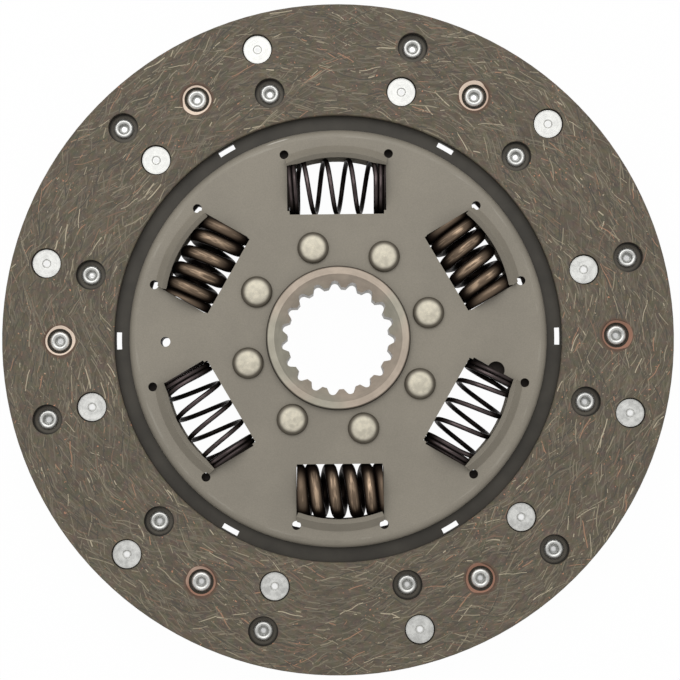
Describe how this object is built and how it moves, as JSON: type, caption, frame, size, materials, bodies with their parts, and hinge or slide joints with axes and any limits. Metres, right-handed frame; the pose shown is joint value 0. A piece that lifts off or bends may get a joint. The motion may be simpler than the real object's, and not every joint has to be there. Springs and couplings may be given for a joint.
{
  "type": "clutch disc",
  "caption": "Dry clutch disc with riveted friction linings, a splined hub and a torsion damper of coil springs in flapped windows between two cover plates.",
  "frame": {"origin": "on the hub's axis, in the middle of the driven plate", "axes": "+Z along the hub's axis, out of the front (flywheel) side; +Y through the middle of one window that holds a thin spring"},
  "size_m": [0.225, 0.225, 0.0253],
  "materials": {
    "hub_steel": "turned, satin",
    "cover_steel": "pressed, phosphated, matt khaki grey",
    "plate_steel": "blackened, matt",
    "lining": "woven fibre in resin, matt, flecked with yellow and copper",
    "lining_rivet": "plated, satin",
    "through_rivet": "plated, satin",
    "hub_rivet": "headed, satin",
    "friction_ring": "matt",
    "spring_washer": "hardened, dark",
    "thin_spring": "oil black, slight sheen",
    "thick_spring": "oil tempered, dark bronze sheen"
  },
  "bodies": {
    "hub_and_covers": {"hub": "hub_steel", "front_cover": "cover_steel", "rear_cover": "cover_steel", "hub_rivets": "hub_rivet", "front_friction_ring": "friction_ring", "rear_friction_ring": "friction_ring", "spring_washer": "spring_washer"},
    "lined_plate": {"driven_plate": "plate_steel", "front_lining": "lining", "rear_lining": "lining", "front_lining_rivets": "lining_rivet", "rear_lining_rivets": "lining_rivet", "through_rivets": "through_rivet"},
    "thin_spring_set": {"thin_spring_1": "thin_spring", "thin_spring_2": "thin_spring", "thin_spring_3": "thin_spring"},
    "thick_spring_set": {"thick_spring_1": "thick_spring", "thick_spring_2": "thick_spring", "thick_spring_3": "thick_spring"}
  },
  "joints": [
    {"name": "damper_twist", "type": "hinge", "parent": "hub_and_covers", "child": "lined_plate", "pos_m": [0, 0, 0], "axis": [0, 0, 1], "range_deg": [-7, 7], "stiffness_Nm_per_rad": 1700, "deforming": ["thin_spring_1", "thin_spring_2", "thin_spring_3", "thick_spring_1", "thick_spring_2", "thick_spring_3"]},
    {"name": "thin_spring_shift", "type": "hinge", "parent": "hub_and_covers", "child": "thin_spring_set", "pos_m": [0, 0, 0], "axis": [0, 0, 1], "range_deg": [-3.5, 3.5], "deforming": ["thin_spring_1", "thin_spring_2", "thin_spring_3"]},
    {"name": "thick_spring_shift", "type": "hinge", "parent": "hub_and_covers", "child": "thick_spring_set", "pos_m": [0, 0, 0], "axis": [0, 0, 1], "range_deg": [-2.5, 2.5], "deforming": ["thick_spring_1", "thick_spring_2", "thick_spring_3"]}
  ],
  "couplings": [
    {"joint": "thin_spring_shift", "follows": "damper_twist", "ratio": 0.49},
    {"joint": "thick_spring_shift", "follows": "damper_twist", "ratio": 0.34}
  ]
}
